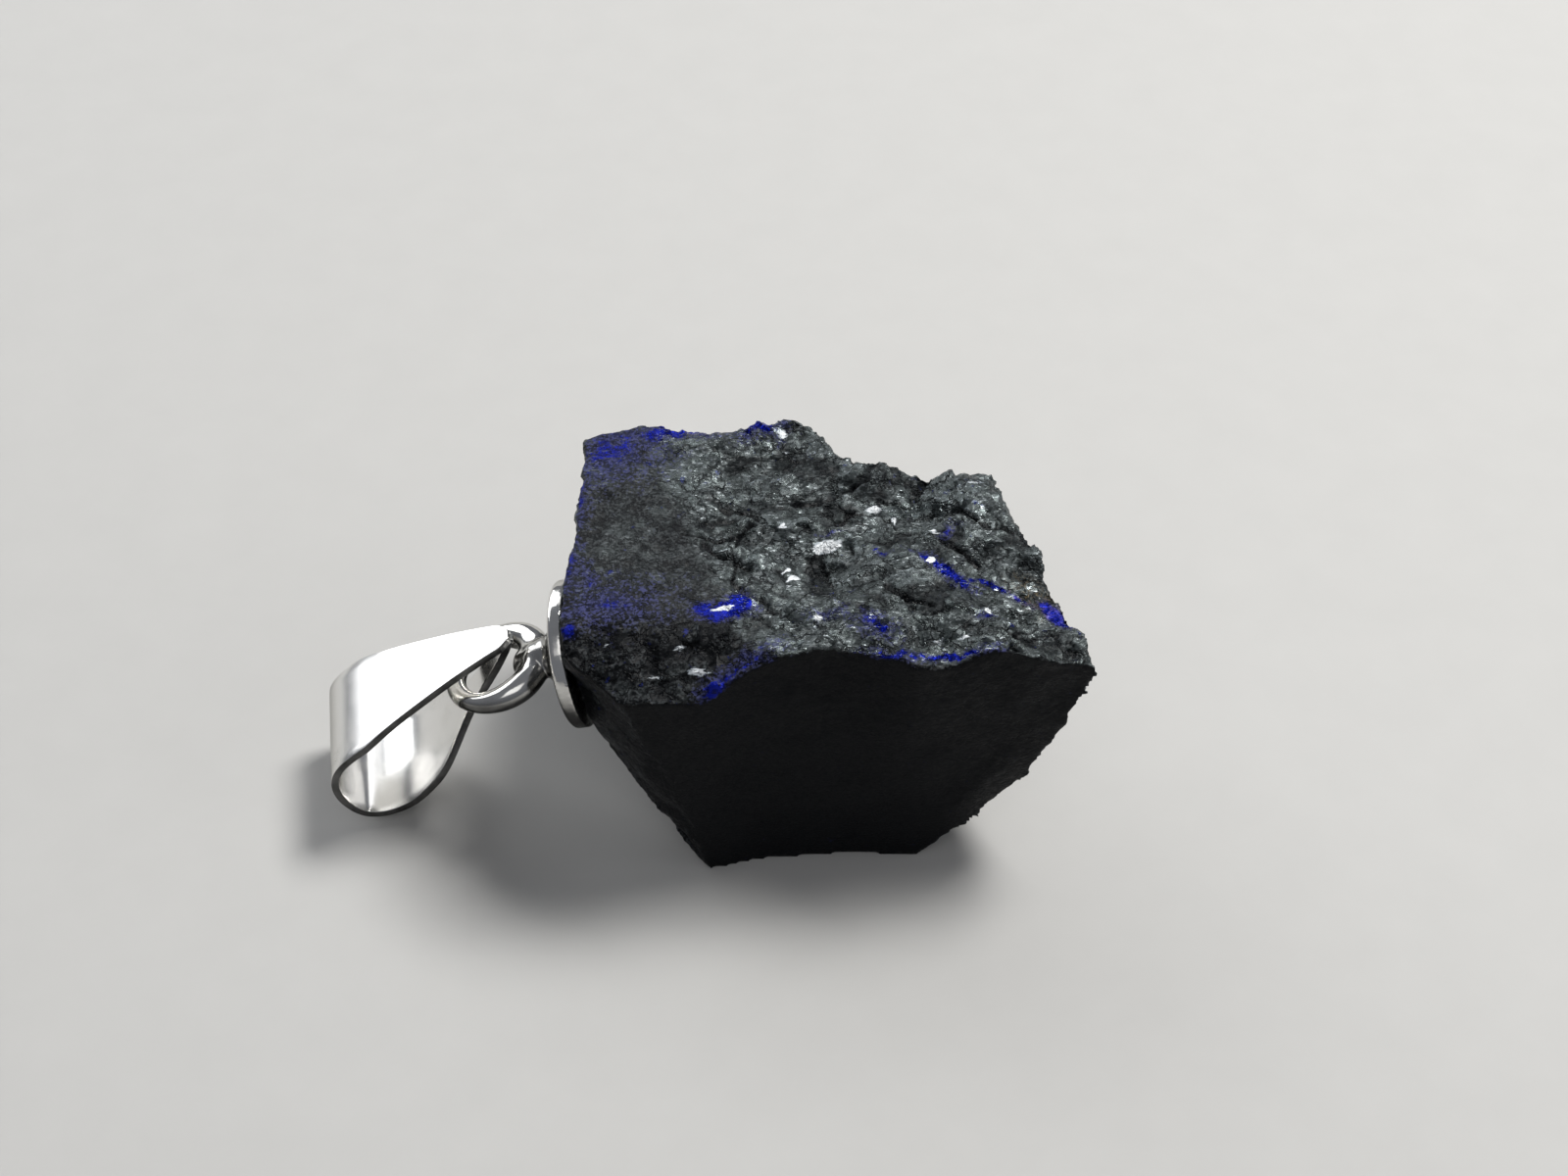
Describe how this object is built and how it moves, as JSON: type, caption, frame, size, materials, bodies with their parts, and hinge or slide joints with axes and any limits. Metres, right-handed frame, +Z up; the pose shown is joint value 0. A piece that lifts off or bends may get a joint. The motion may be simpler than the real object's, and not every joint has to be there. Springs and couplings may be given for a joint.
{
  "type": "azurite pendant",
  "caption": "Rough azurite chunk worn as a pendant, with a glued silver end cap, a ring and a folded silver bail that swings in the ring.",
  "frame": {"origin": "middle of the bounding box, at the height of the surface that the pendant lies on", "axes": "+X from the bail to the stone's far end, +Y away from the stone's broken front face, +Z up from the surface"},
  "size_m": [0.0312, 0.0156, 0.0117],
  "materials": {
    "azurite": "rough broken mineral, almost black with deep blue patches",
    "silver": "polished silver"
  },
  "bodies": {
    "pendant": {"azurite_stone": "azurite", "cap": "silver"},
    "bail": {"bail": "silver"}
  },
  "joints": [
    {"name": "bail_swing", "type": "hinge", "parent": "pendant", "child": "bail", "pos_m": [-0.00982, -0.00252, 0.00572], "axis": [-0.1392, 0.9903, 0], "range_deg": [-65, 5]}
  ]
}
